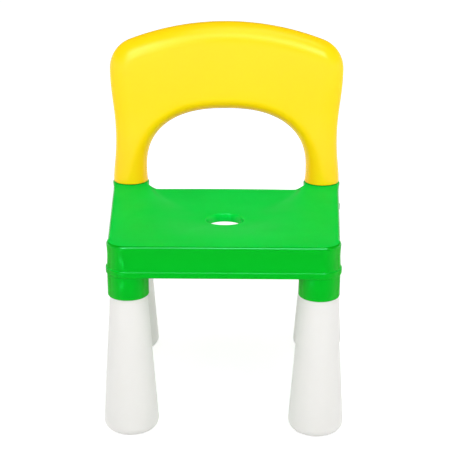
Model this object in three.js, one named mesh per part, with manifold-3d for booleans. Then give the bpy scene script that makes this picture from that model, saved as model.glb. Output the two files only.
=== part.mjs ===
// Child's plastic chair that goes together without tools: one seat moulding, one hollow arch
// backrest that plugs in from above, and four hollow tapered legs that plug in from below.
// Millimetres, +Z up. The origin is on the floor under the middle of the four legs, and the
// front of the chair faces -Y.
import * as THREE from "three";
import { mergeVertices } from "three/addons/utils/BufferGeometryUtils.js";
import Module from "manifold-3d";

const wasm = await Module();
wasm.setup();

// Layout
const FRONT_LEG_SPACING = 210; // between the axes of the two front legs
const REAR_LEG_SPACING = 240; // between the axes of the two rear legs
const LEG_ROW_SPACING = 220; // between the front and the rear pair
const SEAT_HEIGHT = 226; // floor to the flat border of the seat
const FIT_GAP = 0.3; // clearance between pieces that plug together or seat on each other

// Seat moulding
const CORNER_RADIUS = 22.8; // corner columns, and the collars that they end in
const SKIRT_HEIGHT = 36; // seat border to the underside of the rim
const SKIRT_HOLLOW = 0.6; // how far the skirt curves in between rim and top
const SIDE_INSET = 1.2; // how far each side wall lies inside the corner columns
const SEAT_EDGE_ROUND = 5; // rounding between skirt and top
const EDGE_ROUND_BLEND = 16; // over which it tightens towards a rear column
const RIM_HEIGHT = 7;
const RIM_PROUD = 1.4; // how far the rim stands out of the skirt
const RIM_ROUND = 0.9;
const SKIRT_WALL = 2.8;
const PANEL_THICKNESS = 3;
const REAR_WALL_SETBACK = 20; // ends of the rear wall ahead of the rear leg axes
const REAR_WALL_BOW = 1.5; // how far the rear wall bows back at its middle
const REAR_FILLET = 12; // between the rear wall and each rear column
const COLLAR_DROP = 27; // rim to collar mouth
const COLLAR_ROUND = 1.5;
const SOCKET_WEB = 3; // floor between a leg socket and what is above it

// Dish in the top of the seat
const DISH_DEPTH = 5.8;
const DISH_REAR_DEPTH = 4; // what is left of the depth at the rear wall
const DISH_FRONT_MARGIN = 25; // flat border along the front
const DISH_SIDE_MARGIN = 43; // flat border along each side
const DISH_SIDE_SLOPE = 62; // width of the slope from side border to dish
const DISH_CORNER_SLOPE = 14; // width of the same slope at the rear wall

// Hand and drain hole, and the ribs under the panel
const HOLE_RADIUS = 21.5;
const HOLE_FORWARD = 2; // ahead of the middle of the panel
const HOLE_LIP_DEPTH = 9.3;
const HOLE_LIP_WALL = 2.4;
const RIB_DEPTH = 11; // below the panel
const RIB_THICKNESS = 2.2;
const RIB_PITCH = 96; // between the two long ribs, and between the two cross ribs

// Legs
const LEG_FOOT_RADIUS = 31.9; // taper continued down to the floor
const COLLAR_WALL = 1.9; // round the leg at the collar mouth
const LEG_INSERT = 30; // length inside the collar
const LEG_WALL = 2.5;
const LEG_SOLE = 3;
const LEG_FOOT_ROUND = 7;

// Backrest
const POST_LEDGE = 1.2; // top of a rear column left free round a post
const POST_EDGE_ROUND = 1.4;
const PEG_SHOULDER = 5.6; // rim of a post that stands on the seat, round its peg
const BACK_HEIGHT = 199; // seat border to the top of the backrest
const BACK_BEND_RADIUS = 1400; // the backrest leans back along this arc
const BACK_WALL = 2.5;
const BACK_THICKNESS = 32; // upper part
const BACK_EDGE_RADIUS = 26; // how far the rounding of the upper part reaches in
const BACK_FLATTENING_RISE = 95; // height over which a round post becomes the flatter upper part
const WAIST_RISE = 60; // narrowest place above the seat
const WAIST_INSET = 4;
const SHOULDER_OUTSET = 1.9; // widest place beyond the foot of the post
const SHOULDER_RADIUS = 38;
const CROWN_RADIUS = 338;
const OPENING_TOP_RISE = 93.5; // seat border to the top of the arch opening
const OPENING_WIDEST_RISE = 17; // seat border to the widest place of the opening
const OPENING_SQUARENESS = 2.4; // exponent of the superellipse that the opening follows

// Fineness of the faceted surfaces
const COLUMN_STEPS = 40; // round a column, socket, hole or leg
const CORNER_STEPS = 9; // along a quarter turn or half the rear wall of the seat outline
const DISH_GRID = 9;
const ARCH_SECTIONS = 30; // along one half of the backrest
const CAVITY_SECTIONS = 18;
const SECTION_STEPS = 20; // round the backrest

const FRONT_AXIS = new THREE.Vector2(FRONT_LEG_SPACING / 2, -LEG_ROW_SPACING / 2);
const REAR_AXIS = new THREE.Vector2(REAR_LEG_SPACING / 2, LEG_ROW_SPACING / 2);
const RIM_BOTTOM = SEAT_HEIGHT - SKIRT_HEIGHT;
const COLLAR_MOUTH = RIM_BOTTOM - COLLAR_DROP;
const SOCKET_TOP = COLLAR_MOUTH + LEG_INSERT + FIT_GAP;
const PEG_SOCKET_FLOOR = SOCKET_TOP + SOCKET_WEB;
const REAR_WALL = REAR_AXIS.y - REAR_WALL_SETBACK;
const FRONT_FACE = FRONT_AXIS.y - CORNER_RADIUS;
const PANEL_MIDDLE = (FRONT_FACE + REAR_WALL) / 2;
const HOLE_AXIS = new THREE.Vector2(0, PANEL_MIDDLE - HOLE_FORWARD);
const SIDE_LEAN = Math.atan2(REAR_AXIS.x - FRONT_AXIS.x, LEG_ROW_SPACING);
const LEG_NECK_RADIUS = CORNER_RADIUS - COLLAR_WALL - FIT_GAP;
const LEG_TAPER = (LEG_FOOT_RADIUS - LEG_NECK_RADIUS) / COLLAR_MOUTH;
const POST_RADIUS = CORNER_RADIUS - POST_LEDGE;
const PEG_RADIUS = POST_RADIUS - PEG_SHOULDER;
const POST_FOOT = SEAT_HEIGHT + FIT_GAP;

// ---------------------------------------------------------------- solids and surfaces

function toSolid(geometry) {
  const bare = geometry.clone();
  bare.deleteAttribute("normal");
  bare.deleteAttribute("uv");
  const merged = mergeVertices(bare);
  const mesh = new wasm.Mesh({
    numProp: 3,
    vertProperties: new Float32Array(merged.attributes.position.array),
    triVerts: new Uint32Array(merged.index.array),
  });
  return new wasm.Manifold(mesh);
}

function toGeometry(solid) {
  const mesh = solid.getMesh();
  const geometry = new THREE.BufferGeometry();
  geometry.setAttribute("position", new THREE.BufferAttribute(mesh.vertProperties, 3));
  geometry.setIndex(new THREE.BufferAttribute(mesh.triVerts, 1));
  geometry.computeVertexNormals();
  return geometry;
}

function geometryFrom(points, faces) {
  const geometry = new THREE.BufferGeometry();
  geometry.setFromPoints(points);
  geometry.setIndex(faces);
  geometry.computeVertexNormals();
  return geometry;
}

// Faces between rings of equally many points; a loop also joins the last ring to the first.
function ringFaces(ringCount, ringSize, isLoop) {
  const faces = [];
  const spans = isLoop ? ringCount : ringCount - 1;
  for (let ring = 0; ring < spans; ring += 1) {
    const here = ring * ringSize;
    const next = ((ring + 1) % ringCount) * ringSize;
    for (let step = 0; step < ringSize; step += 1) {
      const turn = (step + 1) % ringSize;
      faces.push(here + step, here + turn, next + turn);
      faces.push(here + step, next + turn, next + step);
    }
  }
  return faces;
}

// Closed body from rings stacked upwards, each counter-clockwise seen from above.
function stackedBody(rings) {
  const size = rings[0].length;
  const faces = ringFaces(rings.length, size, false);
  const last = (rings.length - 1) * size;
  const flat = (ring) => ring.map((point) => new THREE.Vector2(point.x, point.y));
  for (const [a, b, c] of THREE.ShapeUtils.triangulateShape(flat(rings[0]), [])) {
    faces.push(a, c, b);
  }
  for (const [a, b, c] of THREE.ShapeUtils.triangulateShape(flat(rings.at(-1)), [])) {
    faces.push(last + a, last + b, last + c);
  }
  return geometryFrom(rings.flat(), faces);
}

// Body turned round a vertical axis; the profile holds [radius, height] pairs.
function turned(profile, centre) {
  const points = profile.map(([radius, height]) => new THREE.Vector2(radius, height));
  const geometry = new THREE.LatheGeometry(points, COLUMN_STEPS);
  geometry.rotateX(Math.PI / 2);
  geometry.translate(centre.x, centre.y, 0);
  return geometry;
}

function upright(bottomRadius, topRadius, bottom, top, centre) {
  return toSolid(turned([[0, bottom], [bottomRadius, bottom], [topRadius, top], [0, top]], centre));
}

function block(low, high) {
  const size = new THREE.Vector3().subVectors(high, low);
  const geometry = new THREE.BoxGeometry(size.x, size.y, size.z);
  geometry.translate((low.x + high.x) / 2, (low.y + high.y) / 2, (low.z + high.z) / 2);
  return toSolid(geometry);
}

function smoothStep(value) {
  const t = THREE.MathUtils.clamp(value, 0, 1);
  return t * t * (3 - 2 * t);
}

// ---------------------------------------------------------------- seat

// Half of the seat outline, on the +X side, from the front to the rear wall. Moving the
// outline out by `offset` keeps its arcs round the same centres. Each corner column runs a
// little past its tangent, to where the inset side wall meets it.
function halfOutline(offset) {
  const points = [];
  const arc = (centre, radius, from, to, steps) => {
    for (let i = 0; i <= steps; i += 1) {
      const angle = from + ((to - from) * i) / steps;
      points.push(new THREE.Vector2(
        centre.x + radius * Math.cos(angle),
        centre.y + radius * Math.sin(angle),
      ));
    }
  };
  const radius = CORNER_RADIUS + offset;
  const reach = CORNER_RADIUS + REAR_FILLET;
  const drop = REAR_WALL_SETBACK - REAR_FILLET;
  const toFillet = Math.PI + Math.asin(drop / reach);
  const fillet = new THREE.Vector2(
    REAR_AXIS.x + reach * Math.cos(toFillet),
    REAR_AXIS.y + reach * Math.sin(toFillet),
  );
  const past = Math.acos(1 - SIDE_INSET / radius);
  arc(FRONT_AXIS, radius, -Math.PI / 2, past - SIDE_LEAN, CORNER_STEPS);
  arc(REAR_AXIS, radius, -past - SIDE_LEAN, toFillet, 2 * CORNER_STEPS);
  arc(fillet, REAR_FILLET - offset, toFillet - Math.PI, -Math.PI / 2, CORNER_STEPS);
  for (let i = 1; i < CORNER_STEPS; i += 1) {
    const share = 1 - i / CORNER_STEPS;
    const bow = REAR_WALL_BOW * (1 - share ** 2);
    points.push(new THREE.Vector2(fillet.x * share, REAR_WALL + bow + offset));
  }
  return points;
}

function seatOutline(offset) {
  const right = halfOutline(offset);
  const left = right.map((point) => new THREE.Vector2(-point.x, point.y)).reverse();
  return [...right, ...left];
}

// Middle plane to the line that touches both columns of one side.
function halfWidth(y) {
  return FRONT_AXIS.x + CORNER_RADIUS + (y - FRONT_AXIS.y) * Math.tan(SIDE_LEAN);
}

// Height of the seat's top at a point of its plan.
function topHeight(x, y) {
  const rearLength = REAR_WALL - PANEL_MIDDLE;
  const rearward = THREE.MathUtils.clamp((y - PANEL_MIDDLE) / rearLength, 0, 1);
  const frontLength = PANEL_MIDDLE - FRONT_FACE - DISH_FRONT_MARGIN;
  const forward = THREE.MathUtils.clamp((PANEL_MIDDLE - y) / frontLength, 0, 1);
  const rearLoss = (DISH_DEPTH - DISH_REAR_DEPTH) * rearward ** 2;
  const depth = (DISH_DEPTH - rearLoss) * Math.cos((forward * Math.PI) / 2) ** 2;
  const slope = THREE.MathUtils.lerp(DISH_SIDE_SLOPE, DISH_CORNER_SLOPE, smoothStep(rearward));
  const inFromBorder = halfWidth(y) - DISH_SIDE_MARGIN - Math.abs(x);
  return SEAT_HEIGHT - depth * smoothStep(inFromBorder / slope);
}

// Slab between a surface and a level plane, over the whole plan of the seat.
function slabToPlane(surface, plane, step) {
  const reachX = REAR_AXIS.x + CORNER_RADIUS + step;
  const reachY = REAR_AXIS.y + CORNER_RADIUS + step;
  const columns = Math.ceil((2 * reachX) / step);
  const rows = Math.ceil((2 * reachY) / step);
  const size = columns * rows;
  const points = [];
  const faces = [];
  const gridPoint = (i, j) => [
    -reachX + (2 * reachX * i) / (columns - 1),
    -reachY + (2 * reachY * j) / (rows - 1),
  ];
  for (let j = 0; j < rows; j += 1) {
    for (let i = 0; i < columns; i += 1) {
      const [x, y] = gridPoint(i, j);
      points.push(new THREE.Vector3(x, y, surface(x, y)));
    }
  }
  for (let k = 0; k < size; k += 1) {
    points.push(new THREE.Vector3(points[k].x, points[k].y, plane));
  }
  const quad = (a, b, c, d) => faces.push(a, b, c, a, c, d);
  for (let j = 0; j < rows - 1; j += 1) {
    for (let i = 0; i < columns - 1; i += 1) {
      const corner = j * columns + i;
      quad(corner, corner + 1, corner + columns + 1, corner + columns);
      quad(
        size + corner,
        size + corner + columns,
        size + corner + columns + 1,
        size + corner + 1,
      );
    }
  }
  const wall = (a, b) => quad(a, size + a, size + b, b);
  for (let i = 0; i < columns - 1; i += 1) {
    wall(i, i + 1);
    wall((rows - 1) * columns + i + 1, (rows - 1) * columns + i);
  }
  for (let j = 0; j < rows - 1; j += 1) {
    wall((j + 1) * columns, j * columns);
    wall(j * columns + columns - 1, (j + 1) * columns + columns - 1);
  }
  const facesUp = surface(0, 0) > plane;
  return toSolid(geometryFrom(points, facesUp ? faces : faces.reverse()));
}

function level(offset, height) {
  return seatOutline(offset).map((point) => new THREE.Vector3(point.x, point.y, height));
}

// Rounding between skirt and top at a point of the outline. Round the rear columns it
// tightens to the ledge that a post of the backrest leaves free.
function edgeRound(point) {
  const toColumn = Math.hypot(Math.abs(point.x) - REAR_AXIS.x, point.y - REAR_AXIS.y);
  const away = smoothStep((toColumn - CORNER_RADIUS) / EDGE_ROUND_BLEND);
  return THREE.MathUtils.lerp(POST_LEDGE, SEAT_EDGE_ROUND, away);
}

// Ring on the rounding between skirt and top, `angle` round it from the skirt.
function roundingRing(angle) {
  const innermost = seatOutline(-SEAT_EDGE_ROUND);
  return seatOutline(0).map((point, index) => {
    const round = edgeRound(point);
    const inward = round * (1 - Math.cos(angle));
    const place = point.clone().lerp(innermost[index], inward / SEAT_EDGE_ROUND);
    const height = topHeight(place.x, place.y) - round * (1 - Math.sin(angle));
    return new THREE.Vector3(place.x, place.y, height);
  });
}

// Outside of the seat: rim, slightly hollow skirt and rounded top edge that follows the dish.
function seatEnvelope() {
  const rimTop = RIM_BOTTOM + RIM_HEIGHT;
  const rings = [
    level(RIM_PROUD - RIM_ROUND, RIM_BOTTOM),
    level(RIM_PROUD, RIM_BOTTOM + RIM_ROUND),
    level(RIM_PROUD, rimTop - RIM_ROUND),
    level(RIM_PROUD - RIM_ROUND, rimTop),
  ];
  const skirtSteps = 4;
  for (let i = 0; i < skirtSteps; i += 1) {
    const share = i / skirtSteps;
    const low = level(-SKIRT_HOLLOW * Math.sin(Math.PI * share), rimTop + FIT_GAP);
    const high = roundingRing(0);
    rings.push(low.map((point, k) => point.setZ(THREE.MathUtils.lerp(point.z, high[k].z, share))));
  }
  const roundSteps = 5;
  for (let i = 0; i < roundSteps; i += 1) {
    rings.push(roundingRing((i / roundSteps) * (Math.PI / 2)));
  }
  for (const height of [SEAT_HEIGHT, SEAT_HEIGHT + SEAT_EDGE_ROUND]) {
    rings.push(roundingRing(Math.PI / 2).map((point) => point.setZ(height)));
  }
  return toSolid(stackedBody(rings));
}

// Hollow under the panel, inside the skirt.
function seatHollow() {
  const inside = -SKIRT_HOLLOW - SKIRT_WALL;
  const prism = toSolid(stackedBody([level(inside, COLLAR_MOUTH), level(inside, SEAT_HEIGHT)]));
  const underside = (x, y) => topHeight(x, y) - PANEL_THICKNESS;
  return prism.intersect(slabToPlane(underside, COLLAR_MOUTH, 2 * DISH_GRID));
}

function legRadius(height) {
  return LEG_FOOT_RADIUS - LEG_TAPER * height;
}

// Corner column with its collar below the rim; above the rim it stays inside the skirt.
function column(axis) {
  const buried = CORNER_RADIUS - SKIRT_HOLLOW - SKIRT_WALL / 3;
  return toSolid(turned([
    [0, COLLAR_MOUTH],
    [CORNER_RADIUS - COLLAR_ROUND, COLLAR_MOUTH],
    [CORNER_RADIUS - 0.3 * COLLAR_ROUND, COLLAR_MOUTH + 0.3 * COLLAR_ROUND],
    [CORNER_RADIUS, COLLAR_MOUTH + COLLAR_ROUND],
    [CORNER_RADIUS, RIM_BOTTOM + RIM_ROUND],
    [buried, RIM_BOTTOM + RIM_HEIGHT],
    [buried, SEAT_HEIGHT - PANEL_THICKNESS / 2],
    [0, SEAT_HEIGHT - PANEL_THICKNESS / 2],
  ], axis));
}

function legSocket(axis) {
  const mouth = COLLAR_MOUTH - COLLAR_ROUND;
  return upright(
    legRadius(mouth) + FIT_GAP,
    legRadius(SOCKET_TOP) + FIT_GAP,
    mouth,
    SOCKET_TOP,
    axis,
  );
}

// A front column is cored out above the ledge that its leg stops against.
function frontCore(axis) {
  const top = SEAT_HEIGHT - PANEL_THICKNESS;
  return upright(PEG_RADIUS, PEG_RADIUS, SOCKET_TOP - SOCKET_WEB, top, axis);
}

function pegSocket(axis) {
  const radius = PEG_RADIUS + FIT_GAP;
  return upright(radius, radius, PEG_SOCKET_FLOOR, SEAT_HEIGHT + SEAT_EDGE_ROUND, axis);
}

// Long ribs and cross ribs under the panel; they run from wall to wall.
function ribs() {
  const bottom = SEAT_HEIGHT - DISH_DEPTH - PANEL_THICKNESS - RIB_DEPTH;
  const top = SEAT_HEIGHT - PANEL_THICKNESS / 2;
  const intoWall = SKIRT_HOLLOW + SKIRT_WALL / 2;
  const front = FRONT_FACE + intoWall;
  const rear = REAR_WALL - intoWall;
  const half = RIB_THICKNESS / 2;
  const pieces = [];
  for (const side of [-1, 1]) {
    const x = (side * RIB_PITCH) / 2;
    pieces.push(block(
      new THREE.Vector3(x - half, front, bottom),
      new THREE.Vector3(x + half, rear, top),
    ));
    const y = PANEL_MIDDLE + (side * RIB_PITCH) / 2;
    const reach = halfWidth(y) - SIDE_INSET - intoWall;
    pieces.push(block(
      new THREE.Vector3(-reach, y - half, bottom),
      new THREE.Vector3(reach, y + half, top),
    ));
  }
  return pieces;
}

function seat() {
  const dishFloor = SEAT_HEIGHT - DISH_DEPTH;
  const lipRadius = HOLE_RADIUS + HOLE_LIP_WALL;
  const lip = upright(lipRadius, lipRadius, dishFloor - HOLE_LIP_DEPTH, SEAT_HEIGHT, HOLE_AXIS);
  let body = seatEnvelope().subtract(seatHollow()).add(lip);
  for (const rib of ribs()) {
    body = body.add(rib);
  }
  const corners = [FRONT_AXIS, REAR_AXIS].flatMap(
    (axis) => [axis, new THREE.Vector2(-axis.x, axis.y)],
  );
  for (const axis of corners) {
    body = body.add(column(axis));
  }
  body = body.subtract(slabToPlane(topHeight, SEAT_HEIGHT + 2 * SEAT_EDGE_ROUND, DISH_GRID));
  for (const axis of corners) {
    const isRear = axis.y > 0;
    body = body.subtract(legSocket(axis)).subtract(isRear ? pegSocket(axis) : frontCore(axis));
  }
  const drill = upright(HOLE_RADIUS, HOLE_RADIUS, COLLAR_MOUTH, 2 * SEAT_HEIGHT, HOLE_AXIS);
  return toGeometry(body.subtract(drill));
}

// ---------------------------------------------------------------- legs

function leg(axis) {
  const top = COLLAR_MOUTH + LEG_INSERT;
  const outer = [[0, 0]];
  const roundSteps = 5;
  const tilt = Math.atan(LEG_TAPER);
  const centre = legRadius(LEG_FOOT_ROUND) - LEG_FOOT_ROUND / Math.cos(tilt);
  for (let i = 0; i <= roundSteps; i += 1) {
    const angle = -Math.PI / 2 + ((Math.PI / 2 + tilt) * i) / roundSteps;
    outer.push([
      centre + LEG_FOOT_ROUND * Math.cos(angle),
      LEG_FOOT_ROUND + LEG_FOOT_ROUND * Math.sin(angle),
    ]);
  }
  outer.push([legRadius(COLLAR_MOUTH), COLLAR_MOUTH], [legRadius(top), top]);
  const inner = [
    [legRadius(top) - LEG_WALL, top],
    [legRadius(LEG_FOOT_ROUND) - LEG_WALL, LEG_FOOT_ROUND],
    [centre, LEG_SOLE],
    [0, LEG_SOLE],
  ];
  return turned([...outer, ...inner], axis);
}

// ---------------------------------------------------------------- backrest

function backLean(height) {
  const rise = Math.max(0, height - POST_FOOT);
  return BACK_BEND_RADIUS - Math.sqrt(BACK_BEND_RADIUS ** 2 - rise ** 2);
}

// Outer edge of the backrest on the +X side, from the foot of the post to the top centre.
function outerEdge(sections) {
  const foot = REAR_AXIS.x + POST_RADIUS;
  const waist = new THREE.Vector2(foot - WAIST_INSET, SEAT_HEIGHT + WAIST_RISE);
  const widest = foot + SHOULDER_OUTSET;
  const crown = SEAT_HEIGHT + BACK_HEIGHT - CROWN_RADIUS;
  const shoulder = new THREE.Vector2(widest - SHOULDER_RADIUS, 0);
  const reach = CROWN_RADIUS - SHOULDER_RADIUS;
  shoulder.y = crown + Math.sqrt(reach ** 2 - shoulder.x ** 2);
  const turn = Math.atan2(shoulder.y - crown, shoulder.x);
  const climb = shoulder.y - waist.y;
  const path = new THREE.Path();
  path.moveTo(foot, POST_FOOT);
  path.bezierCurveTo(
    foot, POST_FOOT + 0.3 * WAIST_RISE,
    waist.x, waist.y - 0.5 * WAIST_RISE,
    waist.x, waist.y,
  );
  path.bezierCurveTo(
    waist.x, waist.y + 0.38 * climb,
    widest, shoulder.y - 0.38 * climb,
    widest, shoulder.y,
  );
  path.absarc(shoulder.x, shoulder.y, SHOULDER_RADIUS, 0, turn, false);
  path.absarc(0, crown, CROWN_RADIUS, turn, Math.PI / 2, false);
  return path.getSpacedPoints(sections);
}

// Edge of the arch opening on the +X side, a superellipse, from the post's foot to the top.
function innerEdge(sections) {
  const centre = SEAT_HEIGHT + OPENING_WIDEST_RISE;
  const halfHeight = OPENING_TOP_RISE - OPENING_WIDEST_RISE;
  const power = 2 / OPENING_SQUARENESS;
  const start = -Math.asin(((centre - POST_FOOT) / halfHeight) ** (1 / power));
  const foot = REAR_AXIS.x - POST_RADIUS;
  const halfWidth = foot / Math.cos(start) ** power;
  const points = [];
  const fineSteps = 200;
  for (let i = 0; i <= fineSteps; i += 1) {
    const angle = start + ((Math.PI / 2 - start) * i) / fineSteps;
    points.push(new THREE.Vector2(
      halfWidth * Math.max(0, Math.cos(angle)) ** power,
      centre + halfHeight * Math.sign(angle) * Math.abs(Math.sin(angle)) ** power,
    ));
  }
  return new THREE.SplineCurve(points).getSpacedPoints(sections);
}

function distanceToLine(point, line) {
  const nearest = new THREE.Vector3();
  const target = new THREE.Vector3(point.x, point.y, 0);
  let distance = Infinity;
  for (let i = 0; i < line.length - 1; i += 1) {
    const segment = new THREE.Line3(
      new THREE.Vector3(line[i].x, line[i].y, 0),
      new THREE.Vector3(line[i + 1].x, line[i + 1].y, 0),
    );
    segment.closestPointToPoint(target, true, nearest);
    distance = Math.min(distance, nearest.distanceTo(target));
  }
  return distance;
}

// Point `inset` deep inside an edge, on the way from a point of that edge to the far edge.
function pulledIn(point, farPoint, edge, inset) {
  const way = farPoint.clone().sub(point).normalize();
  if (inset === 0) return point.clone();
  const trial = point.clone().addScaledVector(way, inset);
  return point.clone().addScaledVector(way, inset ** 2 / distanceToLine(trial, edge));
}

// Rings round one half of the backrest, from the foot of its post to the top centre. The
// section is round at the foot and flatter above, with edges as full as a pillow's. `inset`
// moves the surface in by a wall's thickness.
function halfArch(sections, inset) {
  const outer = outerEdge(sections);
  const inner = innerEdge(sections);
  const lowest = POST_FOOT + inset;
  return outer.map((outerPoint, index) => {
    const innerPoint = inner[index];
    const outside = pulledIn(outerPoint, innerPoint, outer, inset);
    const inside = pulledIn(innerPoint, outerPoint, inner, inset);
    const middle = outside.clone().add(inside).multiplyScalar(0.5);
    const halfChord = outside.clone().sub(inside).multiplyScalar(0.5);
    const ring = [];
    for (let step = 0; step < SECTION_STEPS; step += 1) {
      const angle = (2 * Math.PI * step) / SECTION_STEPS;
      const point = middle.clone().addScaledVector(halfChord, Math.cos(angle));
      const flattening = smoothStep((point.y - POST_FOOT) / BACK_FLATTENING_RISE);
      const edge = THREE.MathUtils.lerp(POST_RADIUS, BACK_EDGE_RADIUS, flattening) - inset;
      const full = THREE.MathUtils.lerp(POST_RADIUS, BACK_THICKNESS / 2, flattening) - inset;
      const nearOuter = distanceToLine(point, outer);
      const nearInner = distanceToLine(point, inner);
      const depth = Math.min(nearOuter, nearInner) - inset;
      const short = 1 - THREE.MathUtils.clamp(depth / edge, 0, 1);
      const half = full * Math.sqrt(1 - short ** 2);
      const side = Math.abs(Math.sin(angle)) < 1e-6 ? 0 : Math.sign(Math.sin(angle));
      ring.push(new THREE.Vector3(
        point.x,
        REAR_AXIS.y + backLean(point.y) + side * half,
        Math.max(point.y, lowest),
      ));
    }
    return ring;
  });
}

function pegRing(radius, height) {
  const ring = [];
  for (let step = 0; step < SECTION_STEPS; step += 1) {
    const angle = (2 * Math.PI * step) / SECTION_STEPS;
    ring.push(new THREE.Vector3(
      REAR_AXIS.x + radius * Math.cos(angle),
      REAR_AXIS.y + radius * Math.sin(angle),
      height,
    ));
  }
  return ring;
}

// The whole skin in one loop: up the outside from one peg, over the top and down to the other
// peg, then back through the inside. The hollow stays open at the ends of both pegs.
function backrest() {
  const pegEnd = PEG_SOCKET_FLOOR + FIT_GAP;
  const mirrored = (ring) => ring.map((point) => new THREE.Vector3(-point.x, point.y, point.z));
  const bothHalves = (half) => [...half, ...half.slice(0, -1).reverse().map(mirrored)];
  const outside = halfArch(ARCH_SECTIONS, 0).slice(1);
  const foot = [
    pegRing(PEG_RADIUS, pegEnd),
    pegRing(PEG_RADIUS, POST_FOOT),
    pegRing(POST_RADIUS - POST_EDGE_ROUND, POST_FOOT),
    pegRing(POST_RADIUS, POST_FOOT + POST_EDGE_ROUND),
  ];
  const inside = halfArch(CAVITY_SECTIONS, BACK_WALL).slice(1);
  const bore = [
    pegRing(PEG_RADIUS - BACK_WALL, pegEnd),
    pegRing(PEG_RADIUS - BACK_WALL, POST_FOOT + BACK_WALL),
    pegRing(POST_RADIUS - BACK_WALL, POST_FOOT + 2 * BACK_WALL),
  ];
  const outsideRings = bothHalves([...foot, ...outside]);
  const insideRings = bothHalves([...bore, ...inside]);
  const rings = [...outsideRings, ...insideRings.reverse()];
  const faces = ringFaces(rings.length, SECTION_STEPS, true);
  return geometryFrom(rings.flat(), faces);
}

// ---------------------------------------------------------------- assembly

function piece(name, geometry, colour, roughness) {
  const material = new THREE.MeshStandardMaterial({ color: colour, roughness, metalness: 0 });
  const mesh = new THREE.Mesh(geometry, material);
  mesh.name = name;
  return mesh;
}

const GREEN = 0x00c832;
const YELLOW = 0xfeeb2a;
const WHITE = 0xeeece4;

const group = new THREE.Group();
group.add(piece("seat", seat(), GREEN, 0.3));
group.add(piece("backrest", backrest(), YELLOW, 0.35));
for (const [row, axis] of [["front", FRONT_AXIS], ["rear", REAR_AXIS]]) {
  for (const [side, sign] of [["left", -1], ["right", 1]]) {
    const place = new THREE.Vector2(sign * axis.x, axis.y);
    group.add(piece(`${row}_${side}_leg`, leg(place), WHITE, 0.4));
  }
}

export default group;
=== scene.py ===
"""A child's push-together plastic chair: seat moulding, hollow arch backrest and tapered legs.

Laid out as an add-on: sizes and colours are properties, each piece has its own operator, and
main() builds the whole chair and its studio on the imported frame. Metres, +Z up, and the front
of the chair faces -Y.
"""

import math

import bmesh  # noqa: E402
import bpy  # noqa: E402
import numpy as np  # noqa: E402
from bpy.props import FloatProperty, FloatVectorProperty, PointerProperty  # noqa: E402
from mathutils import Matrix, Vector  # noqa: E402
from mathutils.geometry import delaunay_2d_cdt  # noqa: E402


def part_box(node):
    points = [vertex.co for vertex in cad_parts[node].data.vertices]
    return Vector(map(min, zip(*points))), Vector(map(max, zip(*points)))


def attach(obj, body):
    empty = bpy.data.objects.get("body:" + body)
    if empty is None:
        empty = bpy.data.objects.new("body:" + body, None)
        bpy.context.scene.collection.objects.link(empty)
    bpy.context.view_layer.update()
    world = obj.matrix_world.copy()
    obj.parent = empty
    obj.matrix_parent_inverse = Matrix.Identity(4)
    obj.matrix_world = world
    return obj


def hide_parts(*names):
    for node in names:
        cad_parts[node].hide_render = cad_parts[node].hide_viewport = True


bl_info = {
    "name": "Child's plastic chair",
    "version": (1, 0, 0),
    "blender": (4, 5, 0),
    "location": "View3D > Sidebar > Chair",
    "description": "Builds a push-together child's chair with moulded plastic finishes",
    "category": "Add Mesh",
}

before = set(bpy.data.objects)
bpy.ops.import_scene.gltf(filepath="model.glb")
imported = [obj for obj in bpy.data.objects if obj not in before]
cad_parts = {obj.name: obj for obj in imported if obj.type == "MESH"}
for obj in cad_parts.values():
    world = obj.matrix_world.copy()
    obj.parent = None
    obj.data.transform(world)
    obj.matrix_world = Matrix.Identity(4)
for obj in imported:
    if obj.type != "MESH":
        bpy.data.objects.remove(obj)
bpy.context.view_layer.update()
COLLAR_MOUTH, SEAT_TOP = (corner.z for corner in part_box("seat"))
PEG_END, BACK_TOP = (corner.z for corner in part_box("backrest"))
LEG_NODES = ("front_left_leg", "front_right_leg", "rear_left_leg", "rear_right_leg")


def leg_axis(node):
    """Where a leg's axis meets the floor, from its box."""
    low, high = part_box(node)
    return Vector(((low.x + high.x) / 2, (low.y + high.y) / 2))


FRONT_AXIS = leg_axis("front_right_leg")
REAR_AXIS = leg_axis("rear_right_leg")
LEG_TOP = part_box("front_right_leg")[1].z

MM = 0.001
QUARTER = math.pi / 2
ARCH_FOOT = SEAT_TOP + 0.3 * MM  # where the edges of the arch start
TURN_CENTRE = 0.01 * MM  # radius at which a turned body starts beside its axis
WELD_GAP = 0.001 * MM
MERGE_GAP = 0.0001 * MM
TINY = 1e-18  # keeps a squared length off zero
POINTS_AT_A_TIME = 2000
CRISP_ANGLE = math.radians(40)
ARCH_CRISP_ANGLE = math.radians(50)
MIRROR = np.array([-1, 1, 1])


# ------------------------------------------------------------------ sizes and colours


def length(name, text, millimetres):
    """A length property in metres, from its default in millimetres."""
    default = millimetres * MM
    return FloatProperty(
        name=name, description=text, default=default, min=0, unit="LENGTH", precision=4
    )


def colour(name, text, value):
    """A colour property."""
    return FloatVectorProperty(
        name=name, description=text, default=value, min=0, max=1, size=3, subtype="COLOR"
    )


def strength(name, text, value):
    """A property for the strength of a light."""
    return FloatProperty(name=name, description=text, default=value, min=0)


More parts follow.
